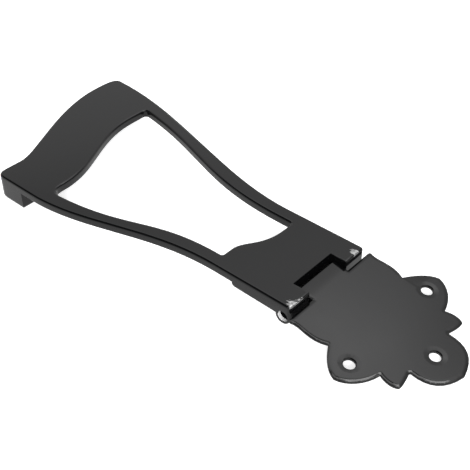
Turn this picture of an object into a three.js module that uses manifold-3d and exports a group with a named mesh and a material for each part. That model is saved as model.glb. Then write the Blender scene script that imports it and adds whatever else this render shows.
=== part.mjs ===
// Trapeze tailpiece for a six-string archtop: a cast frame that holds the strings, hinged to a stamped plate.
// Millimetres. X runs along the strings from the head bar (low X) to the hinge plate (high X), Y across, Z up.
// It lies as on a bench: the foot of the head's lip and the tip of the plate rest on Z = 0.
import * as THREE from 'three';
import { mergeVertices } from 'three/addons/utils/BufferGeometryUtils.js';
import Module from 'manifold-3d';

const wasm = await Module();
wasm.setup();

// Hinge
const pinRadius = 1.6;
const pinLength = 32;
const pinChamfer = 0.3;
const pinClearance = 0.1;
const barrelWall = 0.95;
const boreMouth = 0.2;
const pinDepth = 4.67;
const sheetThickness = 1.02;
const curlTurn = THREE.MathUtils.degToRad(275);
const curlFlat = 2.25;
const curlFoldRound = 0.5;
const curlClearance = 0.75;
const tongueSideGap = 0.35;
const shoulderGap = 0.65;

const boreRadius = pinRadius + pinClearance;
const barrelRadius = boreRadius + barrelWall;
const curlRadius = boreRadius + sheetThickness;

// Casting, depths measured down from its top face
const castThickness = 3.1;
const castRound = 0.6;
const recessRound = 0.25;
const lipDepth = 9.6;
const lipWidth = 13;
const lipFootRound = 1.5;
const lipOuterWall = 3;
const lipChannelWidth = 7;
const lipRoof = 3.4;
const lipEndWall = 4;

// Casting in plan: reaches run from the pin's axis towards the head, widths from the centre line.
// The head bar is an S, so its near half and its far half differ.
const hingeHalfWidth = 18.45;
const armRootWidth = 5.25;
const recessHalfWidth = 9.15;
const kneeReach = 26.9;
const nearHeadHalfWidth = 32.4;
const farHeadHalfWidth = 40.1;
const nearHeadReach = 116.1;
const farHeadReach = 134.35;
const nearHeadWidth = 22.4;
const farHeadWidth = 26.95;
const nearArmEndWidth = 6.1;
const farArmEndWidth = 9.2;
const nearWebSetback = 1.25;
const farWebAdvance = 4.95;
const nearHeadFlat = 18.1;
const nearHeadCorner = 3.6;
const farHeadCornerLength = 3.35;
const farHeadCornerWidth = 6.5;
const openingNearCorner = 4;
const openingFarCorner = 1.4;
const openingWebCorner = 0.8;

// Rails under the arms' roots that carry the ears, a beam between the ears, and the ears' rounded outer corners
const railDepthAtRamp = 4.3;
const railDepthAtBarrel = 4.6;
const railRampStart = 19.9;
const railRampEnd = 17.7;
const earRampStart = 8;
const earRampEnd = 7;
const earTopReach = 4.9;
const earCoreWidth = 6.6;
const beamDepth = 4.9;
const earCorner = 1.2;

// String slots in the lip's outer wall
const stringCount = 6;
const stringSpacing = 10.4;
const slotWidth = 1.8;
const slotHeight = 4.2;

// Hinge plate
const sideHoleReach = 25.1;
const sideHoleHalfSpacing = 20;
const endHoleReach = 40.8;
const screwHoleRadius = 1.8;
const screwHoleChamfer = 0.3;
const screwDishRadius = 3.4;
const screwDishDepth = 0.1;
const sideLobeMargin = 7.25;
const endLobeMargin = 9.75;
const shoulderHalfWidth = 20.3;
const shoulderCorner = 0.8;
const plateRound = 0.2;

// Facets, and the amount by which a cutting body runs past what it cuts
const curveSteps = 20;
const lobeSteps = 8;
const cornerSteps = 4;
const turnSteps = 48;
const roundSteps = 3;
const overrun = 2;

// S curves: where they start and end as shares of the half widths, then their handles as shares of their run
const headOuterShares = { start: 0.676, end: 0.758, leave: 0.139, arrive: 0.409 };
const headInnerShares = { start: 0.645, end: 0.601, leave: 0.347, arrive: 0.413 };
const webShares = { start: 0.69, end: 0.644, leave: 0.3125, arrive: 0.58 };
const nearOuterArmShares = { leave: 0.406, arrive: 0.37, slope: 0 };
const farOuterArmShares = { leave: 0.304, arrive: 0.36, slope: 0.03 };
const nearInnerArmShares = { leave: 0.468, arrive: 0.512, slope: 0.09 };
const farInnerArmShares = { leave: 0.435, arrive: 0.433, slope: 0.17 };

// Plate outline, from the shoulder to the tip: cubic curves as [first handle, second handle, end], each a pair
// of shares of the plate's reach and of its half width
const endLobeStartShares = [0.7755, 0.3706];
const plateCurveShares = {
  shoulder: [[0.1424, 0.6972], [0.2275, 0.8037], [0.3323, 0.6936]],
  sideLobeRise: [[0.368, 0.8073], [0.4233, 0.9651], [0.4965, 1]],
  sideLobeFall: [[0.5737, 0.9688], [0.641, 0.8147], [0.6627, 0.6202]],
  cornerLobe: [[0.7003, 0.6532], [0.7577, 0.6642], [0.7864, 0.6128]],
  cornerLobeEnd: [[0.7933, 0.5578], [0.7794, 0.455], [0.7695, 0.3853]],
  endLobe: [[0.8961, 0.389], [0.9713, 0.2789], [1, 0]],
};

const plateReach = endHoleReach + endLobeMargin;
const plateHalfWidth = sideHoleHalfSpacing + sideLobeMargin;
const recessReach = curlRadius + curlClearance;
const tongueHalfWidth = recessHalfWidth - tongueSideGap;
const shoulderReach = barrelRadius + shoulderGap;
const openingRootHalfWidth = hingeHalfWidth - armRootWidth;
const nearOpeningHalfWidth = nearHeadHalfWidth - nearArmEndWidth;
const farOpeningHalfWidth = farHeadHalfWidth - farArmEndWidth;
const nearWebReach = kneeReach + nearWebSetback;
const farWebReach = kneeReach - farWebAdvance;
const pinHeight = lipDepth - pinDepth;

// The plate droops until the lower edge of its tip meets the bench
const plateDroop = Math.asin(pinHeight / Math.hypot(plateReach, boreRadius)) + Math.atan2(boreRadius, plateReach);

function toSolid(geometry) {
  const bare = geometry.clone();
  bare.deleteAttribute('normal');
  bare.deleteAttribute('uv');
  const merged = mergeVertices(bare);
  return new wasm.Manifold(new wasm.Mesh({
    numProp: 3,
    vertProperties: new Float32Array(merged.attributes.position.array),
    triVerts: new Uint32Array(merged.index.array),
  }));
}

function toMesh(solid, name, material) {
  const mesh = solid.getMesh();
  const indexed = new THREE.BufferGeometry();
  indexed.setAttribute('position', new THREE.BufferAttribute(mesh.vertProperties, mesh.numProp));
  indexed.setIndex(new THREE.BufferAttribute(mesh.triVerts, 1));
  const geometry = indexed.toNonIndexed();
  geometry.computeVertexNormals();
  const result = new THREE.Mesh(geometry, material);
  result.name = name;
  return result;
}

function extrude(shape, depth, round) {
  const geometry = new THREE.ExtrudeGeometry(shape, {
    depth: depth - 2 * round,
    bevelEnabled: round > 0,
    bevelThickness: round,
    bevelSize: round,
    bevelOffset: -round,
    bevelSegments: roundSteps,
  });
  geometry.translate(0, 0, round);
  return geometry;
}

// A plan outline carried from one height to another
function planPrism(shape, low, high, round) {
  const geometry = extrude(shape, high - low, round);
  geometry.translate(0, 0, low);
  return toSolid(geometry);
}

// A side view, drawn in X and Z, carried from lowY to highY
function sidePrism(shape, lowY, highY, round) {
  const geometry = extrude(shape, highY - lowY, round);
  geometry.rotateX(Math.PI / 2);
  geometry.translate(0, highY, 0);
  return toSolid(geometry);
}

// An end view, drawn in Y and Z, carried from lowX to highX
function endPrism(shape, lowX, highX) {
  const geometry = extrude(shape, highX - lowX, 0);
  geometry.rotateX(Math.PI / 2);
  geometry.rotateZ(Math.PI / 2);
  geometry.translate(lowX, 0, 0);
  return toSolid(geometry);
}

// A profile of [radius, height] pairs turned about Y
function turned(profile) {
  const points = profile.map(([radius, height]) => new THREE.Vector2(radius, height));
  return new THREE.LatheGeometry(points, turnSteps);
}

function point(x, y) {
  return new THREE.Vector2(x, y);
}

// Points of a cubic curve after its first one
function cubicPoints(start, firstHandle, secondHandle, end, steps) {
  return new THREE.CubicBezierCurve(start, firstHandle, secondHandle, end).getPoints(steps).slice(1);
}

function cornerPoints(start, corner, end) {
  return new THREE.QuadraticBezierCurve(start, corner, end).getPoints(cornerSteps).slice(1);
}

function arcPoints(radius, height, startAngle, endAngle) {
  const clockwise = endAngle < startAngle;
  const steps = Math.ceil(turnSteps * Math.abs(endAngle - startAngle) / (2 * Math.PI));
  return new THREE.EllipseCurve(0, height, radius, radius, startAngle, endAngle, clockwise).getPoints(steps);
}

// An S that crosses the frame and leaves and arrives straight across
function crossPoints(start, end, shares) {
  const span = end.y - start.y;
  const firstHandle = point(start.x, start.y + shares.leave * span);
  const secondHandle = point(end.x, end.y - shares.arrive * span);
  return cubicPoints(start, firstHandle, secondHandle, end, curveSteps);
}

// An arm's edge: leaves the knee straight towards the head and arrives with a slight flare
function armPoints(knee, end, shares) {
  const run = end.x - knee.x;
  const flare = Math.sign(end.y) * shares.slope;
  const firstHandle = point(knee.x + shares.leave * run, knee.y);
  const secondHandle = point(end.x - shares.arrive * run, end.y + flare * shares.arrive * run);
  return cubicPoints(knee, firstHandle, secondHandle, end, curveSteps);
}

// The head bar's outer edge between two widths, moved inwards by an inset
function headLine(inset, lowY, highY) {
  const nearX = inset - nearHeadReach;
  const farX = inset - farHeadReach;
  const start = point(nearX, -headOuterShares.start * nearHeadHalfWidth);
  const end = point(farX, headOuterShares.end * farHeadHalfWidth);
  return [point(nearX, lowY), start, ...crossPoints(start, end, headOuterShares), point(farX, highY)];
}

// The same edge over the whole head, with its rounded ends
function headEdge() {
  const line = headLine(0, nearHeadCorner - nearHeadHalfWidth, farHeadHalfWidth - farHeadCornerWidth);
  const nearStart = point(nearHeadCorner - nearHeadReach, -nearHeadHalfWidth);
  const nearTurn = point(-nearHeadReach, -nearHeadHalfWidth);
  const farTurn = point(-farHeadReach, farHeadHalfWidth);
  const farEnd = point(farHeadCornerLength - farHeadReach, farHeadHalfWidth);
  return [
    nearStart,
    ...cornerPoints(nearStart, nearTurn, line[0]),
    ...line.slice(1),
    ...cornerPoints(line[line.length - 1], farTurn, farEnd),
  ];
}

function frameShape() {
  const edge = headEdge();
  const nearKnee = point(-kneeReach, -hingeHalfWidth);
  const nearEnd = point(nearHeadFlat - nearHeadReach, -nearHeadHalfWidth);
  const farKnee = point(-kneeReach, hingeHalfWidth);
  const farEnd = edge[edge.length - 1];
  return new THREE.Shape([
    point(-recessReach, -hingeHalfWidth),
    nearKnee,
    ...armPoints(nearKnee, nearEnd, nearOuterArmShares),
    ...edge,
    ...armPoints(farKnee, farEnd, farOuterArmShares).reverse().slice(1),
    farKnee,
    point(-recessReach, hingeHalfWidth),
  ].reverse());
}

function openingPath() {
  const headNearX = nearHeadWidth - nearHeadReach;
  const headFarX = farHeadWidth - farHeadReach;
  const nearRoot = point(-nearWebReach - openingWebCorner, -openingRootHalfWidth);
  const nearEnd = point(headNearX + openingNearCorner, -nearOpeningHalfWidth);
  const nearTurn = point(headNearX, -nearOpeningHalfWidth);
  const nearUp = point(headNearX, openingNearCorner - nearOpeningHalfWidth);
  const waveStart = point(headNearX, -headInnerShares.start * nearHeadHalfWidth);
  const waveEnd = point(headFarX, headInnerShares.end * farHeadHalfWidth);
  const farUp = point(headFarX, farOpeningHalfWidth - openingFarCorner);
  const farTurn = point(headFarX, farOpeningHalfWidth);
  const farEnd = point(headFarX + openingFarCorner, farOpeningHalfWidth);
  const farKnee = point(-kneeReach, openingRootHalfWidth);
  const farRoot = point(-farWebReach - openingWebCorner, openingRootHalfWidth);
  const farWebTurn = point(-farWebReach, openingRootHalfWidth);
  const farWebEnd = point(-farWebReach, openingRootHalfWidth - openingWebCorner);
  const webStart = point(-nearWebReach, -webShares.start * openingRootHalfWidth);
  const webEnd = point(-farWebReach, webShares.end * openingRootHalfWidth);
  const nearWebStart = point(-nearWebReach, openingWebCorner - openingRootHalfWidth);
  const nearWebTurn = point(-nearWebReach, -openingRootHalfWidth);
  return new THREE.Path([
    nearRoot,
    ...armPoints(nearRoot, nearEnd, nearInnerArmShares),
    ...cornerPoints(nearEnd, nearTurn, nearUp),
    waveStart,
    ...crossPoints(waveStart, waveEnd, headInnerShares),
    ...[farUp, ...cornerPoints(farUp, farTurn, farEnd)],
    ...armPoints(farKnee, farEnd, farInnerArmShares).reverse().slice(1),
    farKnee,
    ...[farRoot, ...cornerPoints(farRoot, farWebTurn, farWebEnd)],
    ...crossPoints(webStart, webEnd, webShares).reverse(),
    webStart,
    ...[nearWebStart, ...cornerPoints(nearWebStart, nearWebTurn, nearRoot).slice(0, -1)],
  ]);
}

// The lip under the head bar, open below, with a slot in its outer wall for each string
function headLip() {
  const farLipEnd = farHeadHalfWidth - farOuterArmShares.slope * lipWidth;
  const outline = [...headEdge(), ...headLine(lipWidth, -nearHeadHalfWidth, farLipEnd).reverse()];
  const body = planPrism(new THREE.Shape(outline), -lipDepth, -castRound, lipFootRound);
  const channelEnds = [lipEndWall - nearHeadHalfWidth, farHeadHalfWidth - lipEndWall];
  const channelOutline = [
    ...headLine(lipOuterWall, ...channelEnds),
    ...headLine(lipOuterWall + lipChannelWidth, ...channelEnds).reverse(),
  ];
  const channel = planPrism(new THREE.Shape(channelOutline), -lipDepth - overrun, -lipRoof, 0);
  const wallOutline = [
    ...headLine(-overrun, ...channelEnds),
    ...headLine(lipOuterWall + lipChannelWidth / 2, ...channelEnds).reverse(),
  ];
  const wall = planPrism(new THREE.Shape(wallOutline), -lipDepth - overrun, -lipRoof, 0);
  let result = body.subtract(channel);
  for (let string = 0; string < stringCount; string += 1) {
    const y = (string - (stringCount - 1) / 2) * stringSpacing;
    const slotTop = slotHeight - lipDepth - slotWidth / 2;
    const slotShape = new THREE.Shape();
    slotShape.moveTo(y - slotWidth / 2, -lipDepth - overrun);
    slotShape.lineTo(y + slotWidth / 2, -lipDepth - overrun);
    slotShape.lineTo(y + slotWidth / 2, slotTop);
    slotShape.absarc(y, slotTop, slotWidth / 2, 0, Math.PI, false);
    const slot = endPrism(slotShape, -farHeadReach - overrun, 0);
    result = result.subtract(slot.intersect(wall));
  }
  return result;
}

// Side view of a rail with its ear: rounded step, underside, barrel and nose, with its top inside the casting
function earShape(rampStart, rampEnd) {
  const buried = -castThickness / 2;
  const stepStart = point(-rampStart, -castThickness);
  const stepEnd = point(-rampEnd, -railDepthAtRamp);
  const meeting = Math.PI + Math.asin((railDepthAtBarrel - pinDepth) / barrelRadius);
  return new THREE.Shape([
    point(-rampStart, buried),
    ...[stepStart, ...cornerPoints(stepStart, point(-rampStart, -railDepthAtRamp), stepEnd)],
    ...arcPoints(barrelRadius, -pinDepth, meeting, 2 * Math.PI),
    point(barrelRadius, 0),
    point(-earTopReach, 0),
    point(-earTopReach, buried),
  ]);
}

// Plan of the hinge end of the casting, which rounds the ears' outer corners
function hingePlanShape() {
  const nearStart = point(barrelRadius - earCorner, -hingeHalfWidth);
  const nearTurn = point(barrelRadius, -hingeHalfWidth);
  const nearEnd = point(barrelRadius, earCorner - hingeHalfWidth);
  const farStart = point(barrelRadius, hingeHalfWidth - earCorner);
  const farTurn = point(barrelRadius, hingeHalfWidth);
  const farEnd = point(barrelRadius - earCorner, hingeHalfWidth);
  return new THREE.Shape([
    point(-railRampStart - overrun, -hingeHalfWidth),
    ...[nearStart, ...cornerPoints(nearStart, nearTurn, nearEnd)],
    ...[farStart, ...cornerPoints(farStart, farTurn, farEnd)],
    point(-railRampStart - overrun, hingeHalfWidth),
  ]);
}

// Side view of the beam that stiffens the web behind the curl and gives the recess its crisp edge
function beamShape() {
  return new THREE.Shape([
    point(-earRampStart, 0),
    point(-earRampStart, -castThickness),
    point(-earRampEnd, -beamDepth),
    point(-recessReach, -beamDepth),
    point(-recessReach, 0),
  ]);
}

function castFrame() {
  const slabShape = frameShape();
  slabShape.holes.push(openingPath());
  let result = planPrism(slabShape, -castThickness, 0, castRound).add(headLip());
  const rail = earShape(railRampStart, railRampEnd);
  const ear = earShape(earRampStart, earRampEnd);
  const hinge = sidePrism(rail, -hingeHalfWidth, -openingRootHalfWidth, recessRound)
    .add(sidePrism(rail, openingRootHalfWidth, hingeHalfWidth, recessRound))
    .add(sidePrism(ear, -recessHalfWidth - earCoreWidth, -recessHalfWidth, recessRound))
    .add(sidePrism(ear, recessHalfWidth, recessHalfWidth + earCoreWidth, recessRound));
  const hingeLow = -pinDepth - barrelRadius - overrun;
  result = result.add(hinge.intersect(planPrism(hingePlanShape(), hingeLow, 0, castRound)));
  const beamHalfWidth = recessHalfWidth + earCoreWidth / 2;
  result = result.add(sidePrism(beamShape(), -beamHalfWidth, beamHalfWidth, 0));
  const boreEnd = hingeHalfWidth + overrun;
  const bore = turned([
    [0, -boreEnd],
    [boreRadius + boreMouth + overrun, -boreEnd],
    [boreRadius, boreMouth - hingeHalfWidth],
    [boreRadius, hingeHalfWidth - boreMouth],
    [boreRadius + boreMouth + overrun, boreEnd],
    [0, boreEnd],
  ]);
  bore.translate(0, 0, -pinDepth);
  return result.subtract(toSolid(bore)).translate(0, 0, lipDepth);
}

// Half of the plate's outline, from the shoulder to just before the tip
function plateHalfOutline() {
  const place = ([reachShare, widthShare]) => point(reachShare * plateReach, widthShare * plateHalfWidth);
  const cornerStart = point(shoulderReach, shoulderHalfWidth - shoulderCorner);
  const cornerEnd = point(shoulderReach + shoulderCorner, shoulderHalfWidth);
  const points = [cornerStart, ...cornerPoints(cornerStart, point(shoulderReach, shoulderHalfWidth), cornerEnd)];
  for (const [name, handles] of Object.entries(plateCurveShares)) {
    if (name === 'endLobe') {
      points.push(place(endLobeStartShares));
    }
    points.push(...cubicPoints(points[points.length - 1], ...handles.map(place), lobeSteps));
  }
  return points.slice(0, -1);
}

function screwHole(x, y) {
  const top = curlRadius;
  const edge = screwHoleRadius + screwHoleChamfer;
  const geometry = turned([
    [0, boreRadius - overrun],
    [screwHoleRadius, boreRadius - overrun],
    [screwHoleRadius, top - screwDishDepth - screwHoleChamfer],
    [edge, top - screwDishDepth],
    [screwDishRadius, top],
    [screwDishRadius, top + overrun],
    [0, top + overrun],
  ]);
  geometry.rotateX(Math.PI / 2);
  geometry.translate(x, y, 0);
  return toSolid(geometry);
}

// Side view of the curl: flat past the pin, folded down, then round the pin. The walls of the fold touch both
// circles about the pin, so the sheet keeps its thickness.
function curlShape() {
  const tongueEnd = shoulderReach + shoulderCorner;
  const top = Math.PI / 2;
  const curlEnd = top + curlTurn;
  const foldTurn = 2 * Math.atan2(curlFlat, curlRadius);
  const innerFlat = curlFlat * boreRadius / curlRadius;
  const fold = point(-curlFlat, curlRadius);
  const wallDirection = point(-Math.sin(foldTurn), Math.cos(foldTurn)).multiplyScalar(curlRadius).sub(fold);
  const foldEnd = fold.clone().addScaledVector(wallDirection.normalize(), curlFoldRound);
  return new THREE.Shape([
    point(tongueEnd, boreRadius),
    point(tongueEnd, curlRadius),
    point(curlFoldRound - curlFlat, curlRadius),
    ...cornerPoints(point(curlFoldRound - curlFlat, curlRadius), fold, foldEnd),
    ...arcPoints(curlRadius, 0, top + foldTurn, curlEnd),
    ...arcPoints(boreRadius, 0, curlEnd, top + foldTurn),
    point(-innerFlat, boreRadius),
  ]);
}

// Flat about the pin's axis first, then drooped
function hingePlate() {
  const half = plateHalfOutline();
  const mirrored = half.map(({ x, y }) => point(x, -y)).reverse();
  const sheetShape = new THREE.Shape([...mirrored, ...half, point(plateReach, 0)]);
  const sheet = planPrism(sheetShape, boreRadius, curlRadius, plateRound);
  const curl = sidePrism(curlShape(), -tongueHalfWidth, tongueHalfWidth, plateRound);
  return sheet.add(curl)
    .subtract(screwHole(sideHoleReach, -sideHoleHalfSpacing))
    .subtract(screwHole(sideHoleReach, sideHoleHalfSpacing))
    .subtract(screwHole(endHoleReach, 0))
    .rotate(0, THREE.MathUtils.radToDeg(plateDroop), 0)
    .translate(0, 0, pinHeight);
}

function hingePin() {
  const halfLength = pinLength / 2;
  const geometry = turned([
    [0, -halfLength],
    [pinRadius - pinChamfer, -halfLength],
    [pinRadius, pinChamfer - halfLength],
    [pinRadius, halfLength - pinChamfer],
    [pinRadius - pinChamfer, halfLength],
    [0, halfLength],
  ]);
  geometry.translate(0, 0, pinHeight);
  return toSolid(geometry);
}

const enamel = new THREE.MeshStandardMaterial({ color: 0x1b1b1d, metalness: 0.3, roughness: 0.25 });
const steel = new THREE.MeshStandardMaterial({ color: 0xb4b5b8, metalness: 1, roughness: 0.35 });

const tailpiece = new THREE.Group();
tailpiece.name = 'trapeze_tailpiece';
tailpiece.add(toMesh(castFrame(), 'trapeze_frame', enamel));
tailpiece.add(toMesh(hingePlate(), 'hinge_plate', enamel));
tailpiece.add(toMesh(hingePin(), 'hinge_pin', steel));

// Origin at the middle of the footprint
const bounds = new THREE.Box3().setFromObject(tailpiece);
const middle = bounds.getCenter(new THREE.Vector3());
for (const mesh of tailpiece.children) {
  mesh.geometry.translate(-middle.x, -middle.y, -bounds.min.z);
}

export default tailpiece;
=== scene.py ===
import math

import bmesh
import bpy
import numpy as np
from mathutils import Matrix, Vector


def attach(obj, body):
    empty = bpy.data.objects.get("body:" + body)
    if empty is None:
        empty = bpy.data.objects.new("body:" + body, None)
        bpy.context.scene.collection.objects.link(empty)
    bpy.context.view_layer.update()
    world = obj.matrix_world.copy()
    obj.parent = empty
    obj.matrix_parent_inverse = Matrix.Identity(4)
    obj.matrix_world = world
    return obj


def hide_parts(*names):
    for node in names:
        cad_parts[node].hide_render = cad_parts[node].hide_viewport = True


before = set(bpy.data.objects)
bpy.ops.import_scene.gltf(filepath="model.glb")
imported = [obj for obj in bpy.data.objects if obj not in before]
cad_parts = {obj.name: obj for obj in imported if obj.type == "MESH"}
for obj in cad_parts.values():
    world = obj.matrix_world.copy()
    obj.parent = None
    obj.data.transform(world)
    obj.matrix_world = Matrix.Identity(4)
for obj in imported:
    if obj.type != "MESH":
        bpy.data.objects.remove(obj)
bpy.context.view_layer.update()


# Hinge plate: sheet steel about 1 mm thick, blanked with a leafy outline and pierced for three wood screws.
# Its tongue is curled round the hinge pin, and the whole plate is stoved in gloss black enamel.

# Copies of the solids are merged within MERGE_DISTANCE, in metres, and edges past EDGE_ANGLE stay crisp.
MERGE_DISTANCE = 0.000002
FLAT_ANGLE = math.radians(0.5)
EDGE_ANGLE = math.radians(35)
LEVEL_FACING = 0.9999


def merged_copy(node_name, name):
    piece = bpy.data.objects.new(name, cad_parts[node_name].data.copy())
    piece.data.name = name
    piece.data.materials.clear()
    bpy.context.scene.collection.objects.link(piece)
    bpy.ops.object.select_all(action="DESELECT")
    piece.select_set(True)
    bpy.context.view_layer.objects.active = piece
    bpy.ops.mesh.customdata_custom_splitnormals_clear()
    bpy.ops.object.mode_set(mode="EDIT")
    bpy.ops.mesh.select_all(action="SELECT")
    bpy.ops.mesh.remove_doubles(threshold=MERGE_DISTANCE)
    bpy.ops.mesh.dissolve_limited(angle_limit=FLAT_ANGLE)
    bpy.ops.object.mode_set(mode="OBJECT")
    return piece


def finish_piece(piece, node_name, body):
    bpy.ops.object.shade_smooth_by_angle(angle=EDGE_ANGLE)
    piece.modifiers.new("even normals", "WEIGHTED_NORMAL").keep_sharp = True
    bpy.ops.object.modifier_apply(modifier="even normals")
    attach(piece, body)
    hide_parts(node_name)


def lies_in_plane(face, normal, level):
    off_level = abs(normal.dot(face.verts[0].co) - level)
    return face.normal.dot(normal) > LEVEL_FACING and off_level < MERGE_DISTANCE


# Sizes in mm. Places on the plate count from the pin's axis: along the plate's slope, then along the pin.
PIN_X = 41.954
PIN_Y = -3.85
PIN_Z = 4.93
PIN_AXIS = Vector((PIN_X, PIN_Y, PIN_Z))
SHOULDER = 3.1
SCREW_HOLES = [(25.1, -20), (25.1, 20), (40.8, 0)]
HOLE_MARGIN = 4

# The blanking die rolls the plate's top edge over. A grid of cuts lets the flat top face bend down to it.
ROLL_WIDTH = 0.7
ROLL_DEPTH = 0.2
ROLL_POWER = 1.4
GRID_STEP = 0.4
GRID_REACH = 51.2
GRID_HALF_WIDTH = 27.6
SKIN_DEPTH = 0.5
LEVEL_GAP = 0.001
EDGE_REACH = 0.25

hinge_plate = merged_copy("hinge_plate", "plate_skin")
sheet = hinge_plate.data
top_face = max(sheet.polygons, key=lambda face: face.area * face.normal.z)
plate_up = top_face.normal.copy()
plate_along = Vector((plate_up.z, 0, -plate_up.x))
plate_across = Vector((0, 1, 0))
top_level = plate_up.dot(top_face.center)


def place_on_plate(point):
    return [plate_along.dot(point * 1000 - PIN_AXIS), point.y * 1000 - PIN_AXIS.y]


cuts = [
    (plate_along, plate_along.dot(PIN_AXIS) + step)
    for step in np.arange(SHOULDER, GRID_REACH, GRID_STEP)
]
cuts += [
    (plate_across, PIN_AXIS.y + step)
    for step in np.arange(-GRID_HALF_WIDTH, GRID_HALF_WIDTH, GRID_STEP)
]
bpy.ops.object.mode_set(mode="EDIT")
for direction, distance in cuts:
    grid = bmesh.from_edit_mesh(sheet)
    for face in grid.faces:
        face.select_set(lies_in_plane(face, plate_up, top_level))
    bpy.ops.mesh.bisect(plane_co=direction * distance / 1000, plane_no=direction, threshold=MERGE_DISTANCE)
bpy.ops.object.mode_set(mode="OBJECT")

cut_sheet = bmesh.new()
cut_sheet.from_mesh(sheet)
rim = []
for edge in cut_sheet.edges:
    if sum(lies_in_plane(face, plate_up, top_level) for face in edge.link_faces) == 1:
        ends = [place_on_plate(vertex.co) for vertex in edge.verts]
        middle = np.mean(ends, axis=0)
        by_hole = min(math.dist(middle, hole) for hole in SCREW_HOLES) < HOLE_MARGIN
        if middle[0] > SHOULDER and not by_hole:
            rim.append(ends)
cut_sheet.free()

# The narrow round under the rim sinks with it by the full depth, and the dishes of the screw holes stay.
rim_starts = np.array(rim)[:, 0]
rim_runs = np.array(rim)[:, 1] - rim_starts
for vertex in sheet.vertices:
    above_top = (plate_up.dot(vertex.co) - top_level) * 1000
    if above_top < -SKIN_DEPTH:
        continue
    point = np.array(place_on_plate(vertex.co))
    share = ((point - rim_starts) * rim_runs).sum(1) / (rim_runs * rim_runs).sum(1)
    nearest = rim_starts + rim_runs * np.clip(share, 0, 1)[:, None]
    inset = np.hypot(*(point - nearest).T).min()
    if abs(above_top) > LEVEL_GAP:
        inset = 0 if inset < EDGE_REACH else ROLL_WIDTH
    fall = ROLL_DEPTH * max(0, 1 - inset / ROLL_WIDTH) ** ROLL_POWER
    vertex.co -= plate_up * fall / 1000
finish_piece(hinge_plate, "hinge_plate", "plate")


def linear(hex_colour):
    channels = [int(hex_colour[start:start + 2], 16) / 255 for start in (1, 3, 5)]
    return [c / 12.92 if c <= 0.04045 else ((c + 0.055) / 1.055) ** 2.4 for c in channels] + [1]


def add(tree, kind, inputs, **settings):
    node = tree.nodes.new(kind)
    for name, value in settings.items():
        setattr(node, name, value)
    for name, value in inputs.items():
        if isinstance(value, bpy.types.NodeSocket):
            tree.links.new(value, node.inputs[name])
        else:
            node.inputs[name].default_value = value
    return node


def blank_material(name):
    material = bpy.data.materials.new(name)
    material.use_nodes = True
    material.node_tree.nodes.clear()
    return material


def millimetres(tree):
    origin = add(tree, "ShaderNodeTexCoord", {})
    return add(
        tree,
        "ShaderNodeMapping",
        {"Vector": origin.outputs["Object"], "Scale": (1000, 1000, 1000)},
    )


# Stoved black enamel: a thick glossy coat that flows out nearly flat, so it shows the room with a faint
# ripple. Its gloss drifts a little in clouds about 9 mm wide. Nearly all of a noise pattern lies between
# NOISE_LOW and NOISE_HIGH.
ENAMEL_BLACK = "#09090a"
ENAMEL_IOR = 1.5
RIPPLE_MM = 2.2
RIPPLE_HEIGHT = 0.000003
CLOUD_MM = 9
GLOSSIEST = 0.07
DULLEST = 0.12
NOISE_LOW = 0.3
NOISE_HIGH = 0.7


def enamel_ripple(tree, position_mm):
    ripple = add(tree, "ShaderNodeTexNoise", {"Vector": position_mm, "Scale": 1 / RIPPLE_MM, "Detail": 2})
    return add(
        tree,
        "ShaderNodeBump",
        {"Height": ripple.outputs["Fac"], "Strength": 1, "Distance": RIPPLE_HEIGHT},
    )


def enamel_gloss(tree, position_mm):
    cloud = add(tree, "ShaderNodeTexNoise", {"Vector": position_mm, "Scale": 1 / CLOUD_MM, "Detail": 4})
    return add(
        tree,
        "ShaderNodeMapRange",
        {
            "Value": cloud.outputs["Fac"],
            "From Min": NOISE_LOW,
            "From Max": NOISE_HIGH,
            "To Min": GLOSSIEST,
            "To Max": DULLEST,
        },
    )


plate_enamel = blank_material("stoved_enamel_on_steel")
tree = plate_enamel.node_tree
position = millimetres(tree).outputs["Vector"]
shader = add(
    tree,
    "ShaderNodeBsdfPrincipled",
    {
        "Base Color": linear(ENAMEL_BLACK),
        "IOR": ENAMEL_IOR,
        "Roughness": enamel_gloss(tree, position).outputs["Result"],
        "Normal": enamel_ripple(tree, position).outputs["Normal"],
    },
)
add(tree, "ShaderNodeOutputMaterial", {"Surface": shader.outputs["BSDF"]})
hinge_plate.data.materials.append(plate_enamel)


# Trapeze frame: one die casting with the head bar that holds the strings, two arms, a web and the hinge ears.
# It is stoved in the same black enamel, which has rubbed through to the metal where the ears meet the plate.

# Sizes in mm. The thick coat makes the casting's top edges rounder than the mould does, except in the hinge's
# recess. The flat top face is drawn in by the difference, and the points of the mould's round move down.
TOP_Z = 9.6
CAST_ROUND = 0.6
COATED_ROUND = 0.85
RECESS_HALF_WIDTH = 9.6
RECESS_REACH = 4.5

trapeze = merged_copy("trapeze_frame", "trapeze_skin")
casting = trapeze.data
bpy.ops.object.mode_set(mode="EDIT")
bpy.ops.mesh.select_all(action="DESELECT")
skin = bmesh.from_edit_mesh(casting)
for face in skin.faces:
    if lies_in_plane(face, Vector((0, 0, 1)), TOP_Z / 1000):
        face.select_set(True)
bpy.ops.mesh.inset(thickness=(COATED_ROUND - CAST_ROUND) / 1000, use_boundary=True, use_even_offset=True)
bpy.ops.object.mode_set(mode="OBJECT")
still_flat = {index for face in casting.polygons if face.select for index in face.vertices}
for vertex in casting.vertices:
    x, y, z = vertex.co * 1000
    in_recess = x > PIN_X - RECESS_REACH and abs(y - PIN_Y) < RECESS_HALF_WIDTH
    rise = CAST_ROUND - (TOP_Z - z)
    if rise < -LEVEL_GAP or in_recess or vertex.index in still_flat:
        continue
    in_from_wall = CAST_ROUND - math.sqrt(max(0, CAST_ROUND**2 - rise**2))
    run = COATED_ROUND - in_from_wall
    vertex.co.z = (TOP_Z - COATED_ROUND + math.sqrt(max(0, COATED_ROUND**2 - run**2))) / 1000
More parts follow.
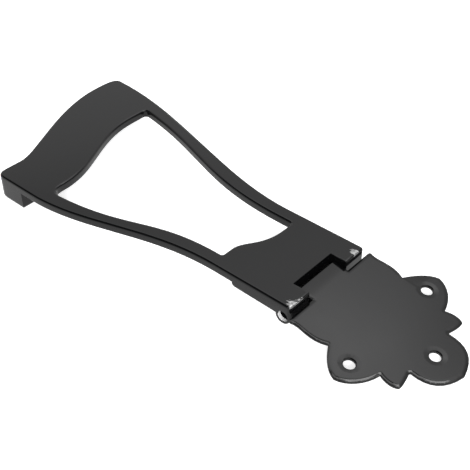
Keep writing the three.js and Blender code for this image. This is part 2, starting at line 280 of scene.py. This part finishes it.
finish_piece(trapeze, "trapeze_frame", "trapeze")

# The edge of the bare patch on each ear, in mm from the pin's middle: along the pin, then across it. Where it
# stands at 4, it lies past the ear and nothing is bare.
BARE_EDGES = [
    (-20, 4.0),
    (-18.8, 2.6),
    (-17.7, 1.6),
    (-17.3, 0.7),
    (-16.6, 0.5),
    (-16.2, -0.6),
    (-15.8, 0.6),
    (-15.2, 1.2),
    (-14.7, 2.0),
    (-13.7, 2.25),
    (-12.2, 2.6),
    (-12.0, 4.0),
    (13.0, 4.0),
    (13.1, 2.0),
    (13.7, 1.1),
    (14.4, 0.4),
    (15.3, 0.5),
    (15.8, 1.9),
    (16.0, 4.0),
]
BARE_SPAN = 20
BARE_REACH = 4

# The patch is on the top face and runs out down the round. Its edge is frayed by scuffs, in mm, that run
# slantwise across the ear.
BARE_FROM_Z = TOP_Z - 0.5
BARE_FULL_Z = TOP_Z - 0.4
SCUFF_TURN = math.radians(41)
SCUFF_LENGTH = 1.5
SCUFF_WIDTH = 0.27
SCUFF_REACH = 5.5
SCUFF_START = -SCUFF_REACH / 2 - 0.05
SCUFF_FULL = 0.1 - SCUFF_REACH / 2


def set_stops(ramp, levels):
    stops = ramp.color_ramp.elements
    while len(stops) < len(levels):
        stops.new(0.5)
    for stop, (place, level) in zip(stops, levels):
        stop.position = place
    for stop, (place, level) in zip(stops, levels):
        stop.color = (level, level, level, 1)


casting_enamel = blank_material("stoved_enamel_on_die_casting")
tree = casting_enamel.node_tree
position = millimetres(tree).outputs["Vector"]
axes = add(tree, "ShaderNodeSeparateXYZ", {"Vector": position})
along_pin = add(
    tree,
    "ShaderNodeMapRange",
    {"Value": axes.outputs["Y"], "From Min": PIN_Y - BARE_SPAN, "From Max": PIN_Y + BARE_SPAN},
)
bare_edge = add(tree, "ShaderNodeValToRGB", {"Fac": along_pin.outputs["Result"]})
set_stops(
    bare_edge,
    [((y + BARE_SPAN) / (2 * BARE_SPAN), (x + BARE_REACH) / (2 * BARE_REACH)) for y, x in BARE_EDGES],
)
bare_edge_x = add(
    tree,
    "ShaderNodeMapRange",
    {"Value": bare_edge.outputs["Color"], "To Min": PIN_X - BARE_REACH, "To Max": PIN_X + BARE_REACH},
)
scuffs = add(
    tree,
    "ShaderNodeMapping",
    {"Vector": position, "Rotation": (0, 0, SCUFF_TURN), "Scale": (SCUFF_LENGTH, SCUFF_WIDTH, 1)},
    vector_type="TEXTURE",
)
chips = add(tree, "ShaderNodeTexNoise", {"Vector": scuffs.outputs["Vector"], "Scale": 1, "Detail": 3})
frayed_edge_x = add(
    tree,
    "ShaderNodeMath",
    {0: chips.outputs["Fac"], 1: SCUFF_REACH, 2: bare_edge_x.outputs["Result"]},
    operation="MULTIPLY_ADD",
)
past_edge = add(
    tree,
    "ShaderNodeMath",
    {0: axes.outputs["X"], 1: frayed_edge_x.outputs["Value"]},
    operation="SUBTRACT",
)
worn = add(
    tree,
    "ShaderNodeMapRange",
    {"Value": past_edge.outputs["Value"], "From Min": SCUFF_START, "From Max": SCUFF_FULL},
)
on_top = add(
    tree,
    "ShaderNodeMapRange",
    {"Value": axes.outputs["Z"], "From Min": BARE_FROM_Z, "From Max": BARE_FULL_Z},
)
worn_top = add(
    tree,
    "ShaderNodeMath",
    {0: worn.outputs["Result"], 1: on_top.outputs["Result"]},
    operation="MULTIPLY",
)

# The bores are drilled after stoving, so their mouths are bare: rough cut zinc, paler than the rubbed
# patches. Deeper in, their walls keep the enamel black as painted shade. Sizes in mm, from the pin's axis and
# its middle.
BORE_EDGE = 1.76
PAINTED_SHADE_WITHIN = 17.2
from_axis_x = add(tree, "ShaderNodeMath", {0: axes.outputs["X"], 1: PIN_X}, operation="SUBTRACT")
from_axis_z = add(tree, "ShaderNodeMath", {0: axes.outputs["Z"], 1: PIN_Z}, operation="SUBTRACT")
axis_offset = add(
    tree,
    "ShaderNodeCombineXYZ",
    {"X": from_axis_x.outputs["Value"], "Y": from_axis_z.outputs["Value"]},
)
from_axis = add(tree, "ShaderNodeVectorMath", {0: axis_offset.outputs["Vector"]}, operation="LENGTH")
in_bore = add(
    tree,
    "ShaderNodeMath",
    {0: from_axis.outputs["Value"], 1: BORE_EDGE},
    operation="LESS_THAN",
)
off_middle = add(tree, "ShaderNodeMath", {0: axes.outputs["Y"], 1: PIN_Y}, operation="SUBTRACT")
out_from_middle = add(tree, "ShaderNodeMath", {0: off_middle.outputs["Value"]}, operation="ABSOLUTE")
# Nearer the pin's middle than this, the bore wall stays enamel black: painted shade deep in the bore.
near_mouth = add(
    tree,
    "ShaderNodeMath",
    {0: out_from_middle.outputs["Value"], 1: PAINTED_SHADE_WITHIN},
    operation="GREATER_THAN",
)
bored = add(
    tree,
    "ShaderNodeMath",
    {0: in_bore.outputs["Value"], 1: near_mouth.outputs["Value"]},
    operation="MULTIPLY",
)

# Bare metal is duller than the coat, and the rubbed patches are smeared darker where dirt has stayed in them.
# A mix node's input 0 is its share, 2 and 3 are its two numbers, and 6 and 7 its two colours.
BARE_ROUGHNESS = 0.4
RUBBED_DARK = "#9a9a9a"
RUBBED_PALE = "#c8c8c8"
CUT_ZINC = "#e2e2e2"
SMEARS_PER_MM = 1.5
SMEAR_LOW = 0.4
SMEAR_HIGH = 0.6
bare = add(
    tree,
    "ShaderNodeMath",
    {0: worn_top.outputs["Value"], 1: bored.outputs["Value"]},
    operation="MAXIMUM",
)
gloss = add(
    tree,
    "ShaderNodeMix",
    {0: bare.outputs["Value"], 2: enamel_gloss(tree, position).outputs["Result"], 3: BARE_ROUGHNESS},
    data_type="FLOAT",
)
smears = add(tree, "ShaderNodeTexNoise", {"Vector": position, "Scale": SMEARS_PER_MM, "Detail": 4})
smeared = add(
    tree,
    "ShaderNodeMapRange",
    {"Value": smears.outputs["Fac"], "From Min": SMEAR_LOW, "From Max": SMEAR_HIGH},
)
rubbed_metal = add(
    tree,
    "ShaderNodeMix",
    {0: smeared.outputs["Result"], 6: linear(RUBBED_DARK), 7: linear(RUBBED_PALE)},
    data_type="RGBA",
)
enamel_or_rubbed = add(
    tree,
    "ShaderNodeMix",
    {0: worn_top.outputs["Value"], 6: linear(ENAMEL_BLACK), 7: rubbed_metal.outputs[2]},
    data_type="RGBA",
)
casting_colour = add(
    tree,
    "ShaderNodeMix",
    {0: bored.outputs["Value"], 6: enamel_or_rubbed.outputs[2], 7: linear(CUT_ZINC)},
    data_type="RGBA",
)
shader = add(
    tree,
    "ShaderNodeBsdfPrincipled",
    {
        "Base Color": casting_colour.outputs[2],
        "Metallic": worn_top.outputs["Value"],
        "IOR": ENAMEL_IOR,
        "Roughness": gloss.outputs[0],
        "Normal": enamel_ripple(tree, position).outputs["Normal"],
    },
)
add(tree, "ShaderNodeOutputMaterial", {"Surface": shader.outputs["BSDF"]})
trapeze.data.materials.append(casting_enamel)


# Hinge pin: a cut length of ground steel rod with broken corners, pushed through the ears and the plate's
# curl. It stops short of both ear faces, and bare steel shows at the bottom of each bore.
hinge_pin = merged_copy("hinge_pin", "pin_skin")
finish_piece(hinge_pin, "hinge_pin", "trapeze")

# Ground steel: grey and half dull, from fine grinding marks that vary its gloss.
STEEL_GREY = "#6f7173"
GRINDING_PER_MM = 6
GROUND_GLOSSIEST = 0.25
GROUND_DULLEST = 0.4
ground_steel = blank_material("ground_steel")
tree = ground_steel.node_tree
position = millimetres(tree).outputs["Vector"]
grinding = add(tree, "ShaderNodeTexNoise", {"Vector": position, "Scale": GRINDING_PER_MM, "Detail": 3})
ground_gloss = add(
    tree,
    "ShaderNodeMapRange",
    {
        "Value": grinding.outputs["Fac"],
        "From Min": NOISE_LOW,
        "From Max": NOISE_HIGH,
        "To Min": GROUND_GLOSSIEST,
        "To Max": GROUND_DULLEST,
    },
)
shader = add(
    tree,
    "ShaderNodeBsdfPrincipled",
    {"Base Color": linear(STEEL_GREY), "Metallic": 1, "Roughness": ground_gloss.outputs["Result"]},
)
add(tree, "ShaderNodeOutputMaterial", {"Surface": shader.outputs["BSDF"]})
hinge_pin.data.materials.append(ground_steel)


# Floor: a plain white table top, painted matt. The camera sees it with a glow added, so that the white is
# even and the shadow stays pale. It is mirrored mostly as an even glow. Near the hinge that glow is left out
# as a painted shadow, so only the shaded paint is mirrored there.
# Sizes in metres.
FLOOR_SIZE = 30
PAINT_WHITE = "#f4f4f4"
SEEN_GLOW = 0.76
MIRRORED_SHARE = 0.8
MIRRORED_GLOW = 0.78
HINGE_MIDDLE = (0.0375, -0.008, 0)
PAINTED_SHADOW_RADIUS = 0.018
PAINTED_SHADOW_FADE_RADIUS = 0.022

bpy.ops.object.select_all(action="DESELECT")
bpy.ops.mesh.primitive_plane_add(size=FLOOR_SIZE, location=(0, 0, 0))
floor = bpy.context.object
floor.name = "floor"
white_paint = blank_material("matt_white_paint")
tree = white_paint.node_tree
ray = add(tree, "ShaderNodeLightPath", {})
mirrored = add(
    tree,
    "ShaderNodeMath",
    {0: ray.outputs["Is Glossy Ray"], 1: ray.outputs["Is Transmission Ray"]},
    operation="ADD",
)
floor_point = add(tree, "ShaderNodeTexCoord", {})
from_hinge = add(
    tree,
    "ShaderNodeVectorMath",
    {0: floor_point.outputs["Object"], 1: HINGE_MIDDLE},
    operation="DISTANCE",
)
# Near the hinge the mirrored glow fades to nothing: a painted shadow where the hinge shades the table.
clear_of_painted_shadow = add(
    tree,
    "ShaderNodeMapRange",
    {
        "Value": from_hinge.outputs["Value"],
        "From Min": PAINTED_SHADOW_RADIUS,
        "From Max": PAINTED_SHADOW_FADE_RADIUS,
        "To Max": MIRRORED_SHARE,
    },
)
glow_share = add(
    tree,
    "ShaderNodeMath",
    {0: mirrored.outputs["Value"], 1: clear_of_painted_shadow.outputs["Result"]},
    operation="MULTIPLY",
)
seen_glow = add(
    tree,
    "ShaderNodeMath",
    {0: ray.outputs["Is Camera Ray"], 1: SEEN_GLOW},
    operation="MULTIPLY",
)
paint = add(tree, "ShaderNodeBsdfDiffuse", {"Color": linear(PAINT_WHITE)})
camera_glow = add(
    tree,
    "ShaderNodeEmission",
    {"Color": (1, 1, 1, 1), "Strength": seen_glow.outputs["Value"]},
)
seen_table = add(
    tree,
    "ShaderNodeAddShader",
    {0: paint.outputs["BSDF"], 1: camera_glow.outputs["Emission"]},
)
mirrored_table = add(tree, "ShaderNodeEmission", {"Color": (1, 1, 1, 1), "Strength": MIRRORED_GLOW})
table = add(
    tree,
    "ShaderNodeMixShader",
    {0: glow_share.outputs["Value"], 1: seen_table.outputs["Shader"], 2: mirrored_table.outputs["Emission"]},
)
add(tree, "ShaderNodeOutputMaterial", {"Surface": table.outputs["Shader"]})
floor.data.materials.append(white_paint)


# Room: a soft studio whose light comes down from behind the part, brighter overhead. The camera's side of
# it is dark, which draws the black line along every edge that turns towards the camera. Each pair is the
# height of a direction, from 0 level to 1 straight up, and the brightness there.
ROOM_LEVELS = [
    (0.0, 1.0),
    (0.2, 1.0),
    (0.3, 0.66),
    (0.5, 0.66),
    (0.535, 0.68),
    (0.575, 0.6),
    (0.6, 0.55),
    (0.65, 0.65),
    (0.69, 0.7),
    (0.72, 0.8),
    (0.75, 0.94),
    (0.8, 1.48),
    (1.0, 1.5),
]
ROOM_PEAK = 1.5

# The dark side: a direction counts from -1, behind the part, to 1, at the camera. The dark starts and is
# full at these values. By height, it takes these shares of the light.
CAMERA_SIDE = (0.66, -0.75, 0)
DARK_START = -0.48
DARK_FULL = -0.32
DARK_SHARES = [(0.08, 0.1), (0.18, 0.72), (0.38, 0.74), (0.52, 0.97)]

# Round patches, in degrees: azimuth, elevation, and how far out each is full and has faded away. Two keep the
# dark off the right side, one brightens the ceiling, and two brighten what the plate mirrors.
FRONT_RIGHT = (345, 32, 24, 38)
HIGH_RIGHT = (62, 50, 12, 22)
CEILING = (0, 80, 14, 26)
WIDE_GLOW = (118, 52, 2, 26)
PLATE_GLOW = (106, 49, 1, 5.5)
CEILING_GAIN = 0.5
WIDE_GAIN = 0.28
PLATE_GAIN = 0.3
ROOM_GAIN = 0.97

world = bpy.data.worlds.new("studio")
bpy.context.scene.world = world
world.use_nodes = True
tree = world.node_tree
tree.nodes.clear()
view = add(tree, "ShaderNodeTexCoord", {}).outputs["Generated"]
height = add(tree, "ShaderNodeSeparateXYZ", {"Vector": view}).outputs["Z"]
room = add(tree, "ShaderNodeValToRGB", {"Fac": height})
set_stops(room, [(z, level / ROOM_PEAK) for z, level in ROOM_LEVELS])


def toward(azimuth, elevation):
    turn = math.radians(azimuth)
    tilt = math.radians(elevation)
    return (math.cos(tilt) * math.cos(turn), math.cos(tilt) * math.sin(turn), math.sin(tilt))


def patch(azimuth, elevation, full, faded):
    near = add(
        tree,
        "ShaderNodeVectorMath",
        {0: view, 1: toward(azimuth, elevation)},
        operation="DOT_PRODUCT",
    )
    return add(
        tree,
        "ShaderNodeMapRange",
        {
            "Value": near.outputs["Value"],
            "From Min": math.cos(math.radians(faded)),
            "From Max": math.cos(math.radians(full)),
        },
        interpolation_type="SMOOTHSTEP",
    ).outputs["Result"]


toward_camera = add(tree, "ShaderNodeVectorMath", {0: view, 1: CAMERA_SIDE}, operation="DOT_PRODUCT")
dark_side = add(
    tree,
    "ShaderNodeMapRange",
    {"Value": toward_camera.outputs["Value"], "From Min": DARK_START, "From Max": DARK_FULL},
    interpolation_type="SMOOTHSTEP",
)
dark_share = add(tree, "ShaderNodeValToRGB", {"Fac": height})
set_stops(dark_share, DARK_SHARES)
kept_light = add(
    tree,
    "ShaderNodeMath",
    {0: patch(*FRONT_RIGHT), 1: patch(*HIGH_RIGHT)},
    operation="MAXIMUM",
)
may_darken = add(tree, "ShaderNodeMath", {0: 1, 1: kept_light.outputs["Value"]}, operation="SUBTRACT")
dark_part = add(
    tree,
    "ShaderNodeMath",
    {0: dark_side.outputs["Result"], 1: may_darken.outputs["Value"]},
    operation="MULTIPLY",
)
darkened = add(
    tree,
    "ShaderNodeMath",
    {0: dark_part.outputs["Value"], 1: dark_share.outputs["Color"]},
    operation="MULTIPLY",
)
shaded = add(tree, "ShaderNodeMath", {0: 1, 1: darkened.outputs["Value"]}, operation="SUBTRACT")
with_ceiling = add(
    tree,
    "ShaderNodeMath",
    {0: patch(*CEILING), 1: CEILING_GAIN, 2: shaded.outputs["Value"]},
    operation="MULTIPLY_ADD",
)
wide_gain = add(
    tree,
    "ShaderNodeMath",
    {0: patch(*WIDE_GLOW), 1: WIDE_GAIN, 2: ROOM_GAIN},
    operation="MULTIPLY_ADD",
)
plate_gain = add(
    tree,
    "ShaderNodeMath",
    {0: patch(*PLATE_GLOW), 1: PLATE_GAIN, 2: wide_gain.outputs["Value"]},
    operation="MULTIPLY_ADD",
)
light_level = add(
    tree,
    "ShaderNodeMath",
    {0: with_ceiling.outputs["Value"], 1: plate_gain.outputs["Value"]},
    operation="MULTIPLY",
)
strength = add(tree, "ShaderNodeMath", {0: light_level.outputs["Value"], 1: ROOM_PEAK}, operation="MULTIPLY")
sky = add(
    tree,
    "ShaderNodeBackground",
    {"Color": room.outputs["Color"], "Strength": strength.outputs["Value"]},
)
add(tree, "ShaderNodeOutputWorld", {"Surface": sky.outputs["Background"]})


# Lamps: a soft box and a strip high over the plate, mirrored along its rolled edges, and a fill from beside
# the camera that reaches into the near bore. The fill isn't mirrored. Sizes in metres, angles in degrees.
LAMP_DISTANCE = 1.2


def area_lamp(name, azimuth, elevation, width, depth, watts):
    lamp = bpy.data.lights.new(name, "AREA")
    lamp.shape = "RECTANGLE"
    lamp.size = width
    lamp.size_y = depth
    lamp.energy = watts
    box = bpy.data.objects.new(name, lamp)
    bpy.context.scene.collection.objects.link(box)
    box.location = [LAMP_DISTANCE * part for part in toward(azimuth, elevation)]
    box.rotation_euler = (math.radians(90 - elevation), 0, math.radians(azimuth + 90))
    return box


area_lamp("high_softbox", azimuth=55, elevation=66, width=0.4, depth=0.4, watts=2.3)
area_lamp("strip", azimuth=98, elevation=83, width=0.8, depth=0.2, watts=1.1)
area_lamp("fill", azimuth=311, elevation=32, width=0.3, depth=0.3, watts=12).visible_glossy = False


# Camera: solved from the photograph, looking down on the hinge end from the near side.
# Its lens is a short telephoto, 69 mm before a sensor 36 mm wide, so the perspective is mild.
lens = bpy.data.cameras.new("camera")
lens.sensor_width = 36
lens.lens = 68.94
camera = bpy.data.objects.new("camera", lens)
bpy.context.scene.collection.objects.link(camera)
camera.location = (0.156702, -0.17305, 0.1885)
camera.rotation_euler = (0.890308, 0.001, 0.722424)
bpy.context.scene.camera = camera
bpy.context.scene.view_settings.view_transform = "Standard"
